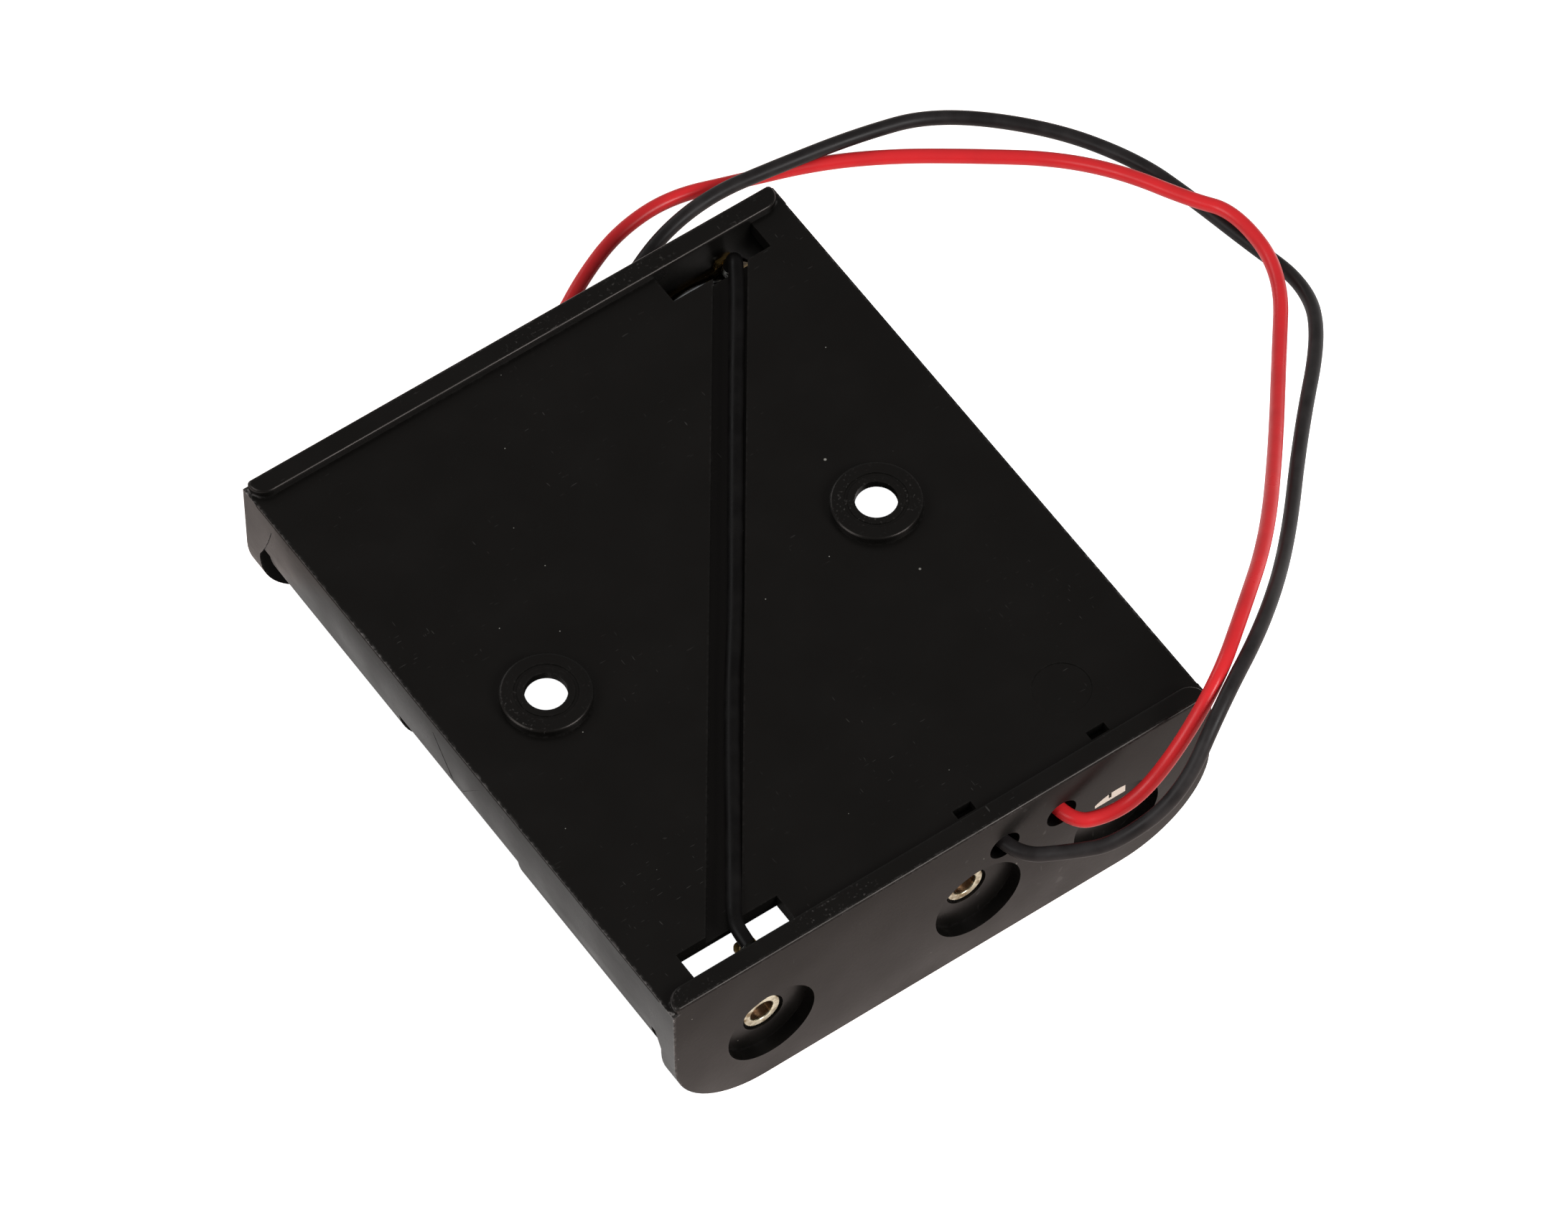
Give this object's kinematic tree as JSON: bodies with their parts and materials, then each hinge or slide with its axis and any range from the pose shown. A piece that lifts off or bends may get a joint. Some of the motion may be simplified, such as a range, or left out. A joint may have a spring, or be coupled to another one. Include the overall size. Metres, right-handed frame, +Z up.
{
  "type": "cylindrical cell holder",
  "caption": "Open moulded holder for three cylindrical cells in a row, underside up, with screw bosses, a jumper wire in a groove, riveted contacts, coil springs, and red and black leads",
  "frame": {"origin": "centre of the holder's outline on the table plane, under the rims of its open side; leads left out", "axes": "X across the cells with the red lead's side +X; Y along the cells, the end wall with the leads at -Y; Z up, the underside of the tray upward"},
  "size_m": [0.0837, 0.0768, 0.0203],
  "materials": {
    "black_plastic": "black moulded plastic, semi-matt, scuffed along the edges",
    "contact_sheet": "thin plated brass sheet",
    "spring_wire": "nickel plated spring wire",
    "rivet_nickel": "nickel plated tubular rivet",
    "black_insulation": "black wire insulation with a soft sheen",
    "red_insulation": "glossy red wire insulation",
    "solder": "bright tin solder"
  },
  "bodies": {
    "root": {"tray": "black_plastic", "plus_plate_near_1": "contact_sheet", "spring_plate_near_2": "contact_sheet", "plus_plate_near_3": "contact_sheet", "bridge_plate_far": "contact_sheet", "spring_plate_far_3": "contact_sheet", "spring_near_2": "spring_wire", "spring_far_1": "spring_wire", "spring_far_3": "spring_wire", "rivet_near_1": "rivet_nickel", "rivet_near_2": "rivet_nickel", "rivet_far_1": "rivet_nickel", "rivet_far_2": "rivet_nickel", "rivet_far_3": "rivet_nickel", "jumper_wire": "black_insulation", "jumper_solder_near": "solder", "jumper_solder_far": "solder", "lead_solder_red": "solder", "lead_solder_black": "solder", "lead_red": "red_insulation", "lead_black": "black_insulation", "lead_red_tip": "solder", "lead_black_tip": "solder"}
  },
  "joints": []
}
